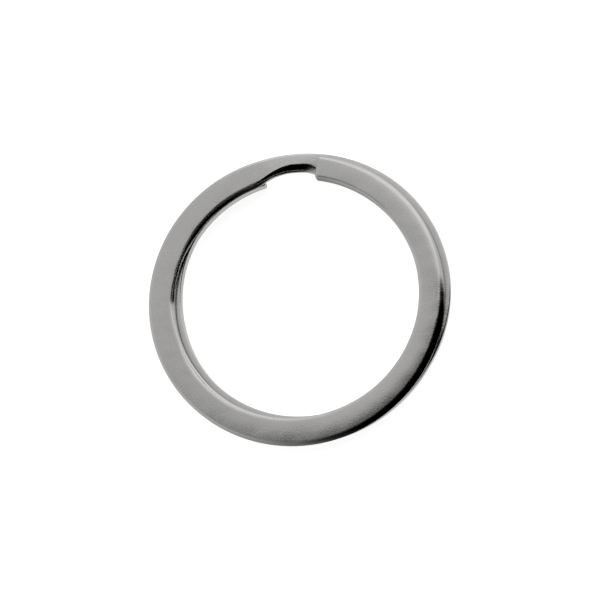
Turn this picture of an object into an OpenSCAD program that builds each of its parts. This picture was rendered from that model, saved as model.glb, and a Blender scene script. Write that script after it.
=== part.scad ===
// Flat split key ring: one strip of spring steel, coiled edgewise through nearly two turns.
// The ring lies flat on z = 0. Its crossing, where the strip steps down from the upper turn
// to the lower one, is centred on +Y, and bearings are counted clockwise from there.

/* [Turns] */
// Outside diameter of each turn
turn_d = 30; // [20:0.5:60]
// Width of the strip, from its outer edge to its inner edge
strip_w = 2.65; // [1.8:0.05:4]
// Thickness of the strip
strip_t = 1.2; // [0.8:0.1:1.8]
// Clearance between the two turns
turn_gap = 0.05; // [0.02:0.01:0.3]
// How far the lower turn has sprung to one side of the upper turn
side_shift = 0.65; // [0:0.05:1.2]
// Bearing towards which the lower turn has sprung
shift_bearing = 58; // [0:1:359]

/* [Worn edges] */
// Width of the rounding along the outer edge, on the exposed face of each turn
outer_round_w = 0.45; // [0.15:0.05:0.7]
// Height of the rounding along the outer edge
outer_round_h = 0.6; // [0.15:0.05:0.65]
// Width of the rounding along the inner edge, on the exposed face of each turn
inner_round_w = 0.3; // [0.15:0.05:0.6]
// Height of the rounding along the inner edge
inner_round_h = 0.45; // [0.15:0.05:0.65]
// Rounding left on the edges of the two faces that meet
mating_round = 0.08; // [0.04:0.01:0.12]

/* [Crossing] */
// Gap between the two free ends, along the middle of the strip
open_l = 5.8; // [4:0.1:9]
// Length that the pinch reaches past each free end
pinch_reach = 1.4; // [0.8:0.1:3]
// How far the inner edge is pinched back
pinch_depth = 0.85; // [0:0.05:1]
// Thickness that the pinch adds to the strip
pinch_swell = 0.2; // [0:0.05:0.3]
// Width of the rounding along the pinched inner edge
pinch_round_w = 0.7; // [0.3:0.1:0.8]

/* [Free ends] */
// Radius of the two corners of a free end, seen from above
end_corner_r = 0.3; // [0.1:0.05:0.4]
// Height of the rounding over the cut edge of a free end
end_edge_h = 0.18; // [0.05:0.01:0.2]

/* [Hidden] */
$fn = 180;

// Height left flat at the middle of the pinched edge
pinch_flat_h = 0.06;
// Steps round each rounded corner, round each free end, and along the crossing
corner_steps = 6;
end_steps = 5;
crossing_steps = 32;
// A loft laps into its turn by this length, and starts this far inside the turn's skin
lap_l = 0.2;
lap_inset = 0.01;

mid_r = (turn_d - strip_w) / 2;
open_half = degrees(open_l / 2);
pinch_half = open_half + degrees(pinch_reach);
end_angle = degrees(end_corner_r);
lap_angle = degrees(lap_l);
step_down = strip_t + turn_gap;
lower_z = strip_t / 2;
upper_z = lower_z + step_down;
lower_centre = side_shift / 2 * [sin(shift_bearing), cos(shift_bearing)];
upper_centre = -lower_centre;

// Angle that a length takes up along the middle of the strip
function degrees(length) = length / mid_r * 180 / PI;

// Eased ramp from 0 to 1, level at both ends
function ease(x) = let (c = min(max(x, 0), 1)) c * c * (3 - 2 * c);

// Quarter of an ellipse about a centre, anticlockwise from a starting angle
function quarter(centre, half_w, half_h, from) = [
    for (i = [0 : corner_steps])
        let (a = from + 90 * i / corner_steps)
        centre + [half_w * cos(a), half_h * sin(a)]
];

// Width and height of a corner's rounding, from 0 where the turns meet to 1 where it is worn.
// No corner takes more than half of the room across the strip, or more than its share of t.
function corner(worn, w, h, room, t) =
    let (fit = min(1, t / (h + 2 * mating_round)))
    [
        min(mating_round + (w - mating_round) * worn, room / 2),
        (mating_round + (h - mating_round) * worn) * fit
    ];

// Outline of the strip's section, outward along x and upward along y, from the strip's middle.
// fall, from 0 to 1, takes its wear from the top of the upper turn to the base of the lower one,
// back sets both edges in, and pinch, from 0 to 1, sets the inner one in and rolls it over.
function section(fall, back = 0, t = strip_t, pinch = 0) =
    let (
        inner = back + pinch_depth * pinch - strip_w / 2,
        outer = strip_w / 2 - back,
        room = outer - inner,
        pinched = pinch * [min(pinch_round_w, room / 2), (t - pinch_flat_h) / 2],
        top_out = corner(1 - fall, outer_round_w, outer_round_h, room, t),
        base_out = corner(fall, outer_round_w, outer_round_h, room, t),
        top_in = pinched + (1 - pinch) * corner(1 - fall, inner_round_w, inner_round_h, room, t),
        base_in = pinched + (1 - pinch) * corner(fall, inner_round_w, inner_round_h, room, t)
    )
    concat(
        quarter([outer - base_out[0], base_out[1] - t / 2], base_out[0], base_out[1], -90),
        quarter([outer - top_out[0], t / 2 - top_out[1]], top_out[0], top_out[1], 0),
        quarter([inner + top_in[0], t / 2 - top_in[1]], top_in[0], top_in[1], 90),
        quarter([inner + base_in[0], base_in[1] - t / 2], base_in[0], base_in[1], 180)
    );

// An outline carried to its bearing round a centre, leaning with the slope of the strip
function placed(outline, bearing, centre, z, slope = 0) = [
    for (p = outline)
        let (r = mid_r + p[0], along = p[1] * sin(slope))
        [
            centre[0] + r * sin(bearing) + along * cos(bearing),
            centre[1] + r * cos(bearing) - along * sin(bearing),
            z + p[1] * cos(slope)
        ]
];

// Section a little inside the strip's skin, where a loft starts within its turn
function lap(fall, bearing, centre, z) =
    placed(section(fall, lap_inset, strip_t - 2 * lap_inset), bearing, centre, z);

// Solid through a row of sections with as many points each, in clockwise order of bearing
module loft(sections) {
    n = len(sections[0]);
    last = len(sections) - 1;
    walls = [
        for (k = [0 : last - 1], i = [0 : n - 1])
            let (a = k * n + i, b = k * n + (i + 1) % n)
            each [[a, b + n, b], [a, a + n, b + n]]
    ];
    first_face = [for (i = [0 : n - 1]) i];
    last_face = [for (i = [n - 1 : -1 : 0]) last * n + i];
    polyhedron(points = [for (s = sections) each s], faces = concat([first_face], walls, [last_face]));
}

// One turn, clockwise between the bearings where its lofts begin, short of each by half a lap
module turn(fall, from, to, centre, z) {
    translate([centre[0], centre[1], z])
        rotate([0, 0, 90 - to + lap_angle / 2])
            rotate_extrude(angle = to - from - lap_angle)
                translate([mid_r, 0])
                    polygon(section(fall));
}

// Cut end of the strip, from a bearing on in the way it runs: 1 is clockwise, -1 anticlockwise
module free_end(fall, bearing, way, centre, z) {
    rounds = [
        for (i = [0 : end_steps])
            let (a = 90 * i / end_steps, back = end_corner_r * (1 - cos(a)))
            placed(
                section(fall, back, strip_t - 2 * end_edge_h * (1 - cos(a))),
                bearing + way * end_angle * sin(a), centre, z
            )
    ];
    stations = concat([lap(fall, bearing - way * lap_angle, centre, z)], rounds);
    loft(way > 0 ? stations : [for (i = [len(stations) - 1 : -1 : 0]) stations[i]]);
}

// Pinched stretch that steps down from the upper turn to the lower one
module crossing() {
    stations = [
        for (k = [0 : crossing_steps])
            let (
                bearing = pinch_half * (2 * k / crossing_steps - 1),
                run = min(max((bearing / open_half + 1) / 2, 0), 1),
                fall = ease(run),
                steepness = 4 * run * (1 - run),
                pinch = ease(1 - abs(bearing) / pinch_half),
                outline = section(fall, 0, strip_t + pinch_swell * pow(steepness, 2), pinch),
                slope = atan(1.5 * steepness * step_down / open_l)
            )
            placed(
                outline, bearing,
                upper_centre * (1 - fall) + lower_centre * fall,
                upper_z - step_down * fall, slope
            )
    ];
    loft(concat(
        [lap(0, -pinch_half - lap_angle, upper_centre, upper_z)],
        stations,
        [lap(1, pinch_half + lap_angle, lower_centre, lower_z)]
    ));
}

module split_ring() {
    color([0.62, 0.62, 0.63])
        union() {
            crossing();
            turn(0, open_half + end_angle, 360 - pinch_half, upper_centre, upper_z);
            free_end(0, open_half + end_angle, -1, upper_centre, upper_z);
            turn(1, pinch_half, 360 - open_half - end_angle, lower_centre, lower_z);
            free_end(1, 360 - open_half - end_angle, 1, lower_centre, lower_z);
        }
}

split_ring();
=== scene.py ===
"""Flat split key ring: one strip of nickel-plated spring steel, coiled flat, at rest on a pale floor."""

import math

import bpy
import numpy as np
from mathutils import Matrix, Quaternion, Vector


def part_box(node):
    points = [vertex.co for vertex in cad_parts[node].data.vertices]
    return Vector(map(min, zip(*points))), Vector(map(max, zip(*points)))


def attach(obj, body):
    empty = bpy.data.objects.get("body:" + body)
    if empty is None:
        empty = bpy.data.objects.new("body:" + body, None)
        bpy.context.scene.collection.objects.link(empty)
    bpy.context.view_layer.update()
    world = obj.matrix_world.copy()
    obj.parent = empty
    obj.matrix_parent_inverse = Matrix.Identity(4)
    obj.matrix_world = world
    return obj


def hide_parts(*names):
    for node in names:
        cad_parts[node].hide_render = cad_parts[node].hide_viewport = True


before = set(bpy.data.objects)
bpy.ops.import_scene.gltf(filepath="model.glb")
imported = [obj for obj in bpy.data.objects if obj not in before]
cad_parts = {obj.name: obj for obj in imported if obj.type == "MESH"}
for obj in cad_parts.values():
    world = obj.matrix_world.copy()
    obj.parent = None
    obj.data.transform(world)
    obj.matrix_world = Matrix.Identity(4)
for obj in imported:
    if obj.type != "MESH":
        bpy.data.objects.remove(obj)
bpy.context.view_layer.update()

# ---------------------------------------------------------------- sizes of the ring, in millimetres
# Bearings are in degrees, clockwise from +Y, where the strip crosses from the upper turn to the
# lower one. A table of (bearing, size) gives a size that changes on the way round.

MM = 0.001
RING = "split_ring"
ring_low, ring_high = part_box(RING)

TURN_GAP = 0.05
# How far the lower turn has sprung to one side of the upper one, and which way
SIDE_SHIFT = 0.65
SHIFT_BEARING = math.radians(58)
TURN_D = (ring_high.x - ring_low.x) / MM - SIDE_SHIFT * math.sin(SHIFT_BEARING)
STRIP_T = ((ring_high.z - ring_low.z) / MM - TURN_GAP) / 2
STRIP_W = 2.65

# Outer corner of the upper turn's top, where tumbling and pockets have worn it
OUTER_ROUND_W = (
    (0, 0.3), (30, 0.4), (55, 0.3), (80, 0.2), (92, 0.3), (106, 0.42),
    (144, 0.2), (165, 0.08), (235, 0.1), (280, 0.2), (340, 0.2),
)
OUTER_ROUND_H = 0.5
# How full a corner is: 2 is a round, and 1 is a flat bevel
ROUND = 2.0
OUTER_FULLNESS = ((30, 1.06), (60, 1.5), (88, 1.5), (106, 1.06), (300, 1.06))
# How far the top of the outer wall leans in over its base, how far out of the strip's middle that
# starts, as a share of the way to its edge, and how far the face rolls down to the wall
LEAN_FROM = 0.5
OUTER_LEAN = ((30, 0.0), (45, 0.04), (62, 0.12), (80, 0.22), (95, 0.2), (108, 0.0), (300, 0.0))
OUTER_ROLL = ((15, 0.0), (36, 0.08), (52, 0.1), (64, 0.05), (80, 0.0), (300, 0.0))

# Inner corner of the upper turn's top
INNER_ROUND_W = (
    (24, 0.1), (164, 0.1), (184, 0.15), (214, 0.32), (236, 0.42),
    (254, 0.13), (272, 0.3), (290, 0.08), (350, 0.08),
)
INNER_ROUND_H = 0.45
INNER_FULLNESS = 1.3
# It is no more than this many times as high as it is wide
INNER_STEEPEST = 1.5

# How far a turn's top falls from its middle to its edges
CROWN = (
    (0, 0.03), (54, 0.055), (104, 0.085), (124, 0.13), (144, 0.12),
    (164, 0.1), (184, 0.08), (224, 0.055), (314, 0.02),
)

# How far the inner edge of either turn, and the outer edge of the lower one, stands in from the
# strip's full width
UPPER_IN = (
    (24, 0.13), (54, 0.1), (79, 0.1), (104, 0.08), (124, 0.02), (144, 0.0), (164, -0.04),
    (214, -0.02), (234, -0.09), (254, -0.05), (274, 0.0), (300, 0.08), (350, 0.08),
)
LOWER_IN = ((260, 0.0), (274, 0.1), (289, 0.24), (304, 0.34), (324, 0.2), (344, 0.02), (350, 0.0))
LOWER_OUT = ((80, 0.0), (104, 0.12), (124, 0.22), (144, 0.16), (175, 0.0))

# Corners of the lower turn's top, which the upper turn keeps from wear, and corners of either base
SHARP_ROUND = 0.08
BASE_ROUND = 0.12

# The crossing: the gap between the free ends, how far the pinch reaches past each, how deep it sets
# the inner edge back, the thickness it adds, and how wide it rolls the edge over
OPEN_L = 5.8
PINCH_REACH = 1.4
PINCH_DEPTH = 0.76
PINCH_SWELL = 0.2
PINCH_ROUND_W = 0.78
# Height of the rolled edge, as a share of half the thickness
PINCH_ROUND_SHARE = 0.95
# How long the pinch stays whole past the middle of the crossing
PINCH_LATE = 1.0

# The free ends: corners seen from above, rounding over the cut, and how much shorter the lower one is
END_CORNER_R = 0.3
END_EDGE_H = 0.18
LOWER_SHORT = 0.55

# How finely the strip's mesh is divided: along the plain turns, along the crossing, and round its section
TURN_STEP = 0.25
CROSSING_STEP = 0.08
CORNER_STEPS = 12
FACE_STEPS = 8
END_STEPS = 8

MID_R = (TURN_D - STRIP_W) / 2
STEP_DOWN = STRIP_T + TURN_GAP
UPPER_Z = STRIP_T / 2 + STEP_DOWN
OPEN_HALF = OPEN_L / 2
PINCH_HALF = OPEN_HALF + PINCH_REACH
# Length of the strip from the middle of its crossing to the cut of either free end
UPPER_END = 2 * math.pi * MID_R - OPEN_HALF
LOWER_END = UPPER_END - LOWER_SHORT

# ---------------------------------------------------------------- the strip


# Slope of ease at its middle, where it is steepest
EASE_STEEPEST = 1.5


def ease(x):
    """Ramp from 0 to 1, level at both ends."""
    c = np.clip(x, 0, 1)
    return c * c * (3 - 2 * c)


def between(start, end, share):
    """The value at a share of the way from start to end."""
    return start + (end - start) * share


def around(table, bearing):
    """A size from a table of (degrees, size), at any bearing in radians."""
    return float(np.interp(math.degrees(bearing), *zip(*table), period=360))


def corner(centre, half_w, half_h, start, fullness=ROUND):
    """Points of one worn corner about a centre, anticlockwise from a starting angle in degrees."""
    a = np.radians(np.linspace(start, start + 90, CORNER_STEPS + 1))
    c, d = np.cos(a), np.sin(a)
    c = np.sign(c) * np.abs(c) ** (2 / fullness)
    d = np.sign(d) * np.abs(d) ** (2 / fullness)
    return np.stack([centre[0] + half_w * c, centre[1] + half_h * d], 1)


def face(start, end):
    """The points between two corners, along the flat that joins them."""
    share = np.linspace(0, 1, FACE_STEPS + 1)[1:-1, None]
    return start * (1 - share) + end * share


def section(bearing, worn, pinch, thickness, set_back, squeeze):
    """Outline of the strip, outward along x and upward along y, from the strip's middle.

    worn is 1 on the upper turn, whose top is bare, and 0 on the lower one, whose top is covered.
    pinch, from 0 to 1, sets the inner edge back and rolls it over. set_back takes both edges in,
    and squeeze takes the top and the base in, towards the cut of a free end.
    """
    half = thickness / 2 - squeeze
    stand_in = between(around(LOWER_IN, bearing), around(UPPER_IN, bearing), worn) * (1 - pinch)
    inner = set_back + PINCH_DEPTH * pinch + stand_in - STRIP_W / 2
    outer = STRIP_W / 2 - set_back - around(LOWER_OUT, bearing) * (1 - worn)

    out_w = between(SHARP_ROUND, around(OUTER_ROUND_W, bearing), worn)
    out_h = between(SHARP_ROUND, OUTER_ROUND_H, worn)
    out_fullness = between(ROUND, around(OUTER_FULLNESS, bearing), worn)
    in_w = between(SHARP_ROUND, around(INNER_ROUND_W, bearing), worn)
    in_h = min(between(SHARP_ROUND, INNER_ROUND_H, worn), INNER_STEEPEST * in_w)
    in_fullness = between(ROUND, INNER_FULLNESS, worn * (1 - pinch))

    rolled_h = half * PINCH_ROUND_SHARE
    in_w, in_h = between(in_w, PINCH_ROUND_W, pinch), between(in_h, rolled_h, pinch)
    base_w, base_h = between(BASE_ROUND, PINCH_ROUND_W, pinch), between(BASE_ROUND, rolled_h, pinch)
    base_out = corner((outer - BASE_ROUND, BASE_ROUND - half), BASE_ROUND, BASE_ROUND, -90)
    top_out = corner((outer - out_w, half - out_h), out_w, out_h, 0, out_fullness)
    top_in = corner((inner + in_w, half - in_h), in_w, in_h, 90, in_fullness)
    base_in = corner((inner + base_w, base_h - half), base_w, base_h, 180)
    outline = np.concatenate([
        base_out, top_out, face(top_out[-1], top_in[0]),
        top_in, base_in, face(base_in[-1], base_out[0]),
    ])

    # across is -1 at the inner edge and 1 at the outer one, and height is 0 at the base and 1 at the top
    across = (outline[:, 0] - (inner + outer) / 2) / ((outer - inner) / 2)
    height = outline[:, 1] / (2 * half) + 0.5
    outer_wall = across > LEAN_FROM
    upper_half = outline[:, 1] > 0
    outline[:, 0] -= around(OUTER_LEAN, bearing) * worn * height * outer_wall
    outline[:, 1] -= upper_half * around(CROWN, bearing) * across**2
    outline[:, 1] -= upper_half * around(OUTER_ROLL, bearing) * worn * np.clip(across, 0, 1) ** 2
    return outline


def station(travel, set_back=0.0, squeeze=0.0):
    """The strip's outline where it has travelled so far from the middle of its crossing."""
    bearing = travel / MID_R
    run = travel / OPEN_L + 0.5
    fall = ease(run)
    # 1 at the middle of the fall, and 0 at both its ends and past them
    steepness = 4 * run * (1 - run) if 0 < run < 1 else 0.0
    slope = math.atan(EASE_STEEPEST * steepness * STEP_DOWN / OPEN_L)
    if travel < PINCH_LATE:
        pinch = ease(1 + min(travel, 0) / PINCH_HALF)
    else:
        pinch = ease((PINCH_HALF - travel) / (PINCH_HALF - PINCH_LATE))
    thickness = STRIP_T + PINCH_SWELL * steepness**2
    outline = section(bearing, 1 - fall, pinch, thickness, set_back, squeeze)

    side = SIDE_SHIFT * (fall - 0.5)
    r = MID_R + outline[:, 0]
    along = outline[:, 1] * math.sin(slope)
    return np.stack([
        side * math.sin(SHIFT_BEARING) + r * math.sin(bearing) + along * math.cos(bearing),
        side * math.cos(SHIFT_BEARING) + r * math.cos(bearing) - along * math.sin(bearing),
        UPPER_Z - STEP_DOWN * fall + outline[:, 1] * math.cos(slope),
    ], 1)


def stretch(start, end, step):
    """Evenly spaced travels from start to just short of end."""
    return list(np.linspace(start, end, math.ceil((end - start) / step) + 1)[:-1])


def strip_stations():
    """Every travel along the strip with its outline, from the upper free end round to the lower one."""
    rounds = []
    for k in range(END_STEPS + 1):
        a = math.pi / 2 * k / END_STEPS
        taken_in = 1 - math.cos(a)
        rounds.append((END_CORNER_R * (1 - math.sin(a)), END_CORNER_R * taken_in, END_EDGE_H * taken_in))
    travels = stretch(END_CORNER_R - UPPER_END, -PINCH_HALF, TURN_STEP)[1:]
    travels += stretch(-PINCH_HALF, PINCH_HALF, CROSSING_STEP)
    travels += stretch(PINCH_HALF, LOWER_END - END_CORNER_R, TURN_STEP)
    places = [(short - UPPER_END, set_back, squeeze) for short, set_back, squeeze in reversed(rounds)]
    places += [(travel, 0.0, 0.0) for travel in travels]
    places += [(LOWER_END - short, set_back, squeeze) for short, set_back, squeeze in rounds]
    return [(travel, station(travel, set_back, squeeze)) for travel, set_back, squeeze in places]


def make_strip():
    """The whole strip as one closed mesh, with a map in mm: along the strip, and round its section."""
    stations = strip_stations()
    count = len(stations[0][1])
    points = np.concatenate([outline for _, outline in stations]) * MM
    faces = []
    for k in range(len(stations) - 1):
        for i in range(count):
            a, b = k * count + i, k * count + (i + 1) % count
            faces.append((a, b, b + count, a + count))
    walls = len(faces)
    last = (len(stations) - 1) * count
    faces.append(tuple(range(count - 1, -1, -1)))
    faces.append(tuple(last + i for i in range(count)))

    mesh = bpy.data.meshes.new("spring_strip")
    mesh.from_pydata(points.tolist(), [], faces)
    mesh.update()
    mesh.polygons.foreach_set("use_smooth", [k < walls for k in range(len(faces))])

    # The outline runs over both outer corners, the top, both inner corners and the base, and only
    # its corners are worn
    half_outline = [1.0] * 2 * (CORNER_STEPS + 1) + [0.0] * (FACE_STEPS - 1)
    worn = mesh.attributes.new("worn_edge", "FLOAT", "POINT")
    worn.data.foreach_set("value", half_outline * 2 * len(stations))

    # The girth is measured on a plain stretch of the upper turn, and its last value closes it
    plain = stations[len(stations) // 4][1]
    steps = np.linalg.norm(np.roll(plain, -1, axis=0) - plain, axis=1)
    girth = np.concatenate([[0], np.cumsum(steps)])
    travel_of = np.repeat([travel for travel, _ in stations], count)
    girth_of = np.tile(girth[:-1], len(stations))
    corners = np.zeros(len(mesh.loops), np.int32)
    mesh.loops.foreach_get("vertex_index", corners)
    places = np.stack([travel_of[corners], girth_of[corners]], 1)
    for k in range(count - 1, walls, count):
        start = mesh.polygons[k].loop_start
        places[start + 1:start + 3, 1] = girth[-1]
    map_mm = mesh.uv_layers.new(name="along_and_around")
    map_mm.data.foreach_set("uv", places.astype(np.float32).ravel())

    strip = bpy.data.objects.new("spring_strip", mesh)
    bpy.context.scene.collection.objects.link(strip)
    return strip


# ---------------------------------------------------------------- materials


def linear(hex_colour):
    """An sRGB hex colour as linear RGBA."""
    shares = [int(hex_colour[k:k + 2], 16) / 255 for k in (0, 2, 4)]
    return (*(c / 12.92 if c <= 0.04045 else ((c + 0.055) / 1.055) ** 2.4 for c in shares), 1.0)


def add(tree, kind, inputs=None, **settings):
    """A new node with its settings, its inputs set to values or linked from other sockets."""
    node = tree.nodes.new(kind)
    for name, value in settings.items():
        setattr(node, name, value)
    for name, value in (inputs or {}).items():
        if isinstance(value, bpy.types.NodeSocket):
            tree.links.new(value, node.inputs[name])
        else:
            node.inputs[name].default_value = value
    return node


def new_material(name):
    """A named material with an empty tree and its output node."""
    material = bpy.data.materials.new(name)
    material.use_nodes = True
    tree = material.node_tree
    tree.nodes.clear()
    return material, tree, add(tree, "ShaderNodeOutputMaterial")


WHITE = (1, 1, 1, 1)
PALE_PAINT = "F4F4F3"

# Nickel is a white metal with a little yellow in it: bluer where the plate is thin, and brightest
# where it is rubbed
NICKEL_COOL = "CFD0D1"
NICKEL_WARM = "D7D4CF"
NICKEL_POLISHED = "DDDCDA"

# Pits that tumbling in grit leaves on the flats. They are about 0.05 mm across, too fine to show,
# so they are drawn three times as coarse.
GRAIN_MM = 0.15
GRAIN_DEPTH_MM = 0.008
# Noise mostly stays within these values, and the grain's speckle and gloss are spread over them
GRAIN_NOISE = (0.3, 0.7)
GRAIN_SHADE = (0.93, 1.07)
# Fine lines that rolling draws along the strip. They are about 0.03 mm apart and are drawn four
# times as coarse, and they run some thirty times as far as they are wide.
LINE_MM = 0.12
LINE_DEPTH_MM = 0.002
LINE_STRETCH = 0.03
# Slow waviness of a strip that was rolled and then coiled edgewise, about as long as it is wide
WAVE_MM = 2.6
WAVE_DEPTH_MM = 0.05
# Patches of thinner plate, where the edges are also rubbed a little less
PATCH_MM = 1.1
PATCH_NOISE = (0.35, 0.5)
PATCH_RUB = (0.7, 1.0)
# Reach of the painted shade in the seam between the turns, how closed in a place is where the
# shade is full and where it ends, and how dark it is there
SEAM_SHADE_MM = 0.22
SEAM_SHADE_OPENNESS = (0.5, 0.85)
SEAM_SHADE = (0.25, 1.0)
SATIN_ROUGHNESS = (0.2, 0.28)
POLISHED_ROUGHNESS = 0.08


def satin_nickel_plate():
    """Nickel plate on tumbled spring steel: a grey satin with a fine grain on the flats, which blurs
    what it mirrors, and brighter, near-mirror edges, which show it as sharp dark and light lines."""
    material, tree, output = new_material("satin_nickel_plate")
    place = add(tree, "ShaderNodeTexCoord")
    in_mm = add(tree, "ShaderNodeVectorMath", {
        0: place.outputs["Object"], "Scale": 1 / MM,
    }, operation="SCALE")
    grain = add(tree, "ShaderNodeTexNoise", {
        "Vector": in_mm.outputs["Vector"], "Scale": 1 / GRAIN_MM, "Detail": 2.0, "Roughness": 0.6,
    })
    wave = add(tree, "ShaderNodeTexNoise", {
        "Vector": in_mm.outputs["Vector"], "Scale": 1 / WAVE_MM, "Detail": 1.0, "Roughness": 0.5,
    })
    patch = add(tree, "ShaderNodeTexNoise", {
        "Vector": in_mm.outputs["Vector"], "Scale": 1 / PATCH_MM, "Detail": 3.0, "Roughness": 0.6,
    })
    along = add(tree, "ShaderNodeUVMap", uv_map="along_and_around")
    stretched = add(tree, "ShaderNodeVectorMath", {
        0: along.outputs["UV"], 1: (LINE_STRETCH, 1.0, 1.0),
    }, operation="MULTIPLY")
    lines = add(tree, "ShaderNodeTexNoise", {
        "Vector": stretched.outputs["Vector"], "Scale": 1 / LINE_MM, "Detail": 2.0, "Roughness": 0.7,
    })

    edge = add(tree, "ShaderNodeAttribute", attribute_name="worn_edge")
    rub = add(tree, "ShaderNodeMapRange", {
        "Value": patch.outputs["Fac"], "From Min": PATCH_NOISE[0], "From Max": PATCH_NOISE[1],
        "To Min": PATCH_RUB[0], "To Max": PATCH_RUB[1],
    })
    rubbed = add(tree, "ShaderNodeMath", {
        0: edge.outputs["Fac"], 1: rub.outputs["Result"],
    }, operation="MULTIPLY")

    tint = add(tree, "ShaderNodeMix", {
        "Factor": patch.outputs["Fac"], "A": linear(NICKEL_COOL), "B": linear(NICKEL_WARM),
    }, data_type="RGBA")
    speck = add(tree, "ShaderNodeMapRange", {
        "Value": grain.outputs["Fac"], "From Min": GRAIN_NOISE[0], "From Max": GRAIN_NOISE[1],
        "To Min": GRAIN_SHADE[0], "To Max": GRAIN_SHADE[1],
    })
    flats = add(tree, "ShaderNodeVectorMath", {
        0: tint.outputs["Result"], "Scale": speck.outputs["Result"],
    }, operation="SCALE")
    colour = add(tree, "ShaderNodeMix", {
        "Factor": rubbed.outputs["Value"], "A": flats.outputs["Vector"], "B": linear(NICKEL_POLISHED),
    }, data_type="RGBA")
    # Painted shade: the colour darkens where the strip closes in on itself, as in the seam between the
    # turns
    seam_occlusion = add(tree, "ShaderNodeAmbientOcclusion", {"Distance": SEAM_SHADE_MM * MM}, only_local=True, samples=8)
    painted_shade = add(tree, "ShaderNodeMapRange", {
        "Value": seam_occlusion.outputs["AO"], "From Min": SEAM_SHADE_OPENNESS[0], "From Max": SEAM_SHADE_OPENNESS[1],
        "To Min": SEAM_SHADE[0], "To Max": SEAM_SHADE[1],
    })
    shaded_colour = add(tree, "ShaderNodeVectorMath", {
        0: colour.outputs["Result"], "Scale": painted_shade.outputs["Result"],
    }, operation="SCALE")

    grain_bump = add(tree, "ShaderNodeBump", {
        "Height": grain.outputs["Fac"], "Strength": 1.0, "Distance": GRAIN_DEPTH_MM * MM,
    })
    line_bump = add(tree, "ShaderNodeBump", {
        "Height": lines.outputs["Fac"], "Strength": 1.0, "Distance": LINE_DEPTH_MM * MM,
        "Normal": grain_bump.outputs["Normal"],
    })
    wave_bump = add(tree, "ShaderNodeBump", {
        "Height": wave.outputs["Fac"], "Strength": 1.0, "Distance": WAVE_DEPTH_MM * MM,
        "Normal": line_bump.outputs["Normal"],
    })
    satin = add(tree, "ShaderNodeMapRange", {
        "Value": grain.outputs["Fac"], "From Min": GRAIN_NOISE[0], "From Max": GRAIN_NOISE[1],
        "To Min": SATIN_ROUGHNESS[0], "To Max": SATIN_ROUGHNESS[1],
    })
    rough = add(tree, "ShaderNodeMix", {
        "Factor": rubbed.outputs["Value"], "A": satin.outputs["Result"], "B": POLISHED_ROUGHNESS,
    }, data_type="FLOAT")
    plate = add(tree, "ShaderNodeBsdfPrincipled", {
        "Base Color": shaded_colour.outputs["Vector"], "Metallic": 1.0,
        "Roughness": rough.outputs["Result"], "Normal": wave_bump.outputs["Normal"],
    })
    tree.links.new(plate.outputs["BSDF"], output.inputs["Surface"])
    return material


# How strongly the floor and the card shine of themselves
FLOOR_GLOW = 0.85
CARD_GLOW = 0.6


def matt_white_paint():
    """Matt white paint, with a glow that keeps it an even white and leaves the ring a faint shadow."""
    material, tree, output = new_material("matt_white_floor")
    paint = add(tree, "ShaderNodeBsdfPrincipled", {
        "Base Color": linear(PALE_PAINT), "Roughness": 0.9, "Specular IOR Level": 0.0,
        "Emission Color": WHITE, "Emission Strength": FLOOR_GLOW,
    })
    tree.links.new(paint.outputs["BSDF"], output.inputs["Surface"])
    return material


def glowing_grey_card():
    """Painted light: a card that is not lit but glows an even mid grey, which only mirror reflections
    show.
    """
    material, tree, output = new_material("glowing_grey_card")
    card = add(tree, "ShaderNodeEmission", {"Color": WHITE, "Strength": CARD_GLOW})
    tree.links.new(card.outputs["Emission"], output.inputs["Surface"])
    return material


# ---------------------------------------------------------------- floor, light and camera

FLOOR_SIDE = 4.0
FLOOR_DROP_MM = 0.01

# A card that glows of itself, painted light, and lies round the lower turn, with rims given as (bearing,
# radius) about that turn, so that the turn's lowest walls mirror grey. Neither the camera nor the floor
# sees it.
CARD_LIFT_MM = 0.005
CARD_R = ((0, 15.35),)
CARD_HOLE_R = ((254, 11.7), (274, 11.85), (289, 12.05), (304, 12.2), (324, 12.05), (344, 11.8), (20, 11.8))
CARD_SIDES = 180


FLOOR_Z = ring_low.z - FLOOR_DROP_MM * MM


def flat_sheet(name, points, faces, material):
    """A flat sheet of one material."""
    mesh = bpy.data.meshes.new(name)
    mesh.from_pydata(points, [], faces)
    mesh.materials.append(material)
    sheet = bpy.data.objects.new(name, mesh)
    bpy.context.scene.collection.objects.link(sheet)
    return sheet


def make_floor():
    """A plain pale floor just under the ring."""
    half = FLOOR_SIDE / 2
    square = [(x, y, FLOOR_Z) for x, y in ((-half, -half), (half, -half), (half, half), (-half, half))]
    floor = flat_sheet("floor", square, [(0, 1, 2, 3)], matt_white_paint())
    # Polished walls would mirror so wide a white floor and be lost against it
    floor.visible_glossy = False


def make_card():
    """The glowing grey card on the floor, a flat ring about the lower turn."""
    side = SIDE_SHIFT / 2
    rims = []
    for table in (CARD_R, CARD_HOLE_R):
        for k in range(CARD_SIDES):
            b = 2 * math.pi * k / CARD_SIDES
            r = around(table, b)
            rims.append((
                (side * math.sin(SHIFT_BEARING) + r * math.sin(b)) * MM,
                (side * math.cos(SHIFT_BEARING) + r * math.cos(b)) * MM,
                FLOOR_Z + CARD_LIFT_MM * MM,
            ))
    faces = []
    for k in range(CARD_SIDES):
        following = (k + 1) % CARD_SIDES
        faces.append((k, k + CARD_SIDES, following + CARD_SIDES, following))
    card = flat_sheet("card", rims, faces, glowing_grey_card())
    card.visible_camera = False
    card.visible_diffuse = False
    card.visible_shadow = False


def towards(bearing, tilt):
    """Unit vector towards a bearing clockwise from +Y, tilted so many degrees from straight up."""
    b = math.radians(bearing)
    t = math.radians(tilt)
    return Vector((math.sin(b) * math.sin(t), math.cos(b) * math.sin(t), math.cos(t)))


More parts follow.
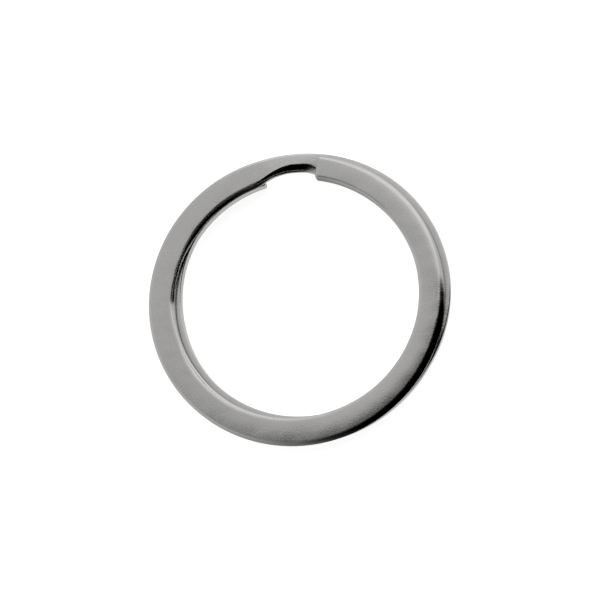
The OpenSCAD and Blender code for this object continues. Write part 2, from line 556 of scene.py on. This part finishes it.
# The room's far side and left side, as the viewer has them, turned in degrees from the ring's own
# axes, the far one slanted to the left as well. The light from any direction stands in a table of
# (its dot product with that side, brightness).
ROOM_TURN = 3.79
FAR_SLANT = 0.2
FAR_SIDE = towards(ROOM_TURN, 90) - FAR_SLANT * towards(90 + ROOM_TURN, 90)
FAR_LIGHT = ((0.0, 0.0), (0.08, 0.0), (0.2, 0.55), (0.65, 0.57), (1.0, 0.57))
LEFT_SIDE = towards(270 + ROOM_TURN, 90)
LEFT_LIGHT = ((-1.0, 0.0), (-0.28, 0.0), (-0.05, 0.02), (0.12, 0.14), (0.3, 0.3), (0.7, 0.55), (1.0, 0.55))
ROOM_BRIGHTEST = 0.58
# A broad soft panel, low on the far side: which way its middle is, the dot products with that way
# at which it starts and is at its full, and how bright it is there
PANEL = towards(22 + ROOM_TURN, 75)
PANEL_EDGE = (0.5, 0.86)
PANEL_BRIGHTNESS = 0.3


def set_ramp(node, table):
    """Sets a colour ramp's stops, given as (dot product, grey level)."""
    elements = node.color_ramp.elements
    while len(elements) < len(table):
        elements.new(0.5)
    for element, (place, level) in zip(elements, table):
        element.position = (place + 1) / 2
        element.color = (level, level, level, 1)


def light_studio():
    """Soft light from the room's far and left sides, with a panel low on the far side. The viewer's
    side is dark, so the walls that face it turn black and the strip's thickness shows."""
    world = bpy.data.worlds.new("studio")
    bpy.context.scene.world = world
    world.use_nodes = True
    tree = world.node_tree
    tree.nodes.clear()
    output = add(tree, "ShaderNodeOutputWorld")
    look = add(tree, "ShaderNodeTexCoord")
    squares = []
    for side, table in ((FAR_SIDE, FAR_LIGHT), (LEFT_SIDE, LEFT_LIGHT)):
        facing = add(tree, "ShaderNodeVectorMath", {
            0: look.outputs["Generated"], 1: side,
        }, operation="DOT_PRODUCT")
        share = add(tree, "ShaderNodeMapRange", {
            "Value": facing.outputs["Value"], "From Min": -1.0, "From Max": 1.0,
        })
        light = add(tree, "ShaderNodeValToRGB", {"Fac": share.outputs["Result"]})
        set_ramp(light, table)
        squares.append(add(tree, "ShaderNodeMath", {0: light.outputs["Color"], 1: 2.0}, operation="POWER"))
    both_squares = add(tree, "ShaderNodeMath", {
        0: squares[0].outputs["Value"], 1: squares[1].outputs["Value"],
    }, operation="ADD")
    both_sides = add(tree, "ShaderNodeMath", {0: both_squares.outputs["Value"]}, operation="SQRT")
    soft_light = add(tree, "ShaderNodeMath", {
        0: both_sides.outputs["Value"], 1: ROOM_BRIGHTEST,
    }, operation="MINIMUM")
    to_panel = add(tree, "ShaderNodeVectorMath", {
        0: look.outputs["Generated"], 1: PANEL,
    }, operation="DOT_PRODUCT")
    panel = add(tree, "ShaderNodeMapRange", {
        "Value": to_panel.outputs["Value"], "From Min": PANEL_EDGE[0], "From Max": PANEL_EDGE[1],
        "To Min": 0.0, "To Max": PANEL_BRIGHTNESS,
    }, interpolation_type="SMOOTHSTEP")
    all_light = add(tree, "ShaderNodeMath", {
        0: soft_light.outputs["Value"], 1: panel.outputs["Result"],
    }, operation="ADD")
    room = add(tree, "ShaderNodeBackground", {"Color": WHITE, "Strength": all_light.outputs["Value"]})

    # Seen past the floor, the room is as pale as the floor
    backdrop = add(tree, "ShaderNodeBackground", {"Color": linear(PALE_PAINT), "Strength": 1.0})
    ray = add(tree, "ShaderNodeLightPath")
    seen = add(tree, "ShaderNodeMixShader", {
        0: ray.outputs["Is Camera Ray"], 1: room.outputs["Background"], 2: backdrop.outputs["Background"],
    })
    tree.links.new(seen.outputs["Shader"], output.inputs["Surface"])
    bpy.context.scene.view_settings.view_transform = "Standard"


# Where the camera stands from what it aims at, in degrees and mm, its roll and its angle of view,
# and the nearest and farthest that it sees, in metres
CAMERA_BEARING = 151.07
CAMERA_TILT = 17.11
CAMERA_DISTANCE = 158.14
CAMERA_ROLL = -32.72
CAMERA_AIM = Vector((-0.0472, -0.0607, 0.0))
CAMERA_ANGLE = 21.709
CAMERA_NEAR, CAMERA_FAR = 0.001, 10.0


def make_camera():
    """Looks down on the ring from close by, a little from one side."""
    camera = bpy.data.objects.new("camera", bpy.data.cameras.new("camera"))
    bpy.context.scene.collection.objects.link(camera)
    back = towards(CAMERA_BEARING, CAMERA_TILT)
    camera.location = (CAMERA_AIM + back * CAMERA_DISTANCE) * MM
    roll = Quaternion((0, 0, 1), math.radians(CAMERA_ROLL))
    camera.rotation_mode = "QUATERNION"
    camera.rotation_quaternion = (-back).to_track_quat("-Z", "Y") @ roll
    camera.data.angle = math.radians(CAMERA_ANGLE)
    camera.data.clip_start = CAMERA_NEAR
    camera.data.clip_end = CAMERA_FAR
    bpy.context.scene.camera = camera


# ---------------------------------------------------------------- the scene

strip = make_strip()
strip.data.materials.append(satin_nickel_plate())
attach(strip, "root")
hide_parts(RING)

make_floor()
make_card()
light_studio()
make_camera()
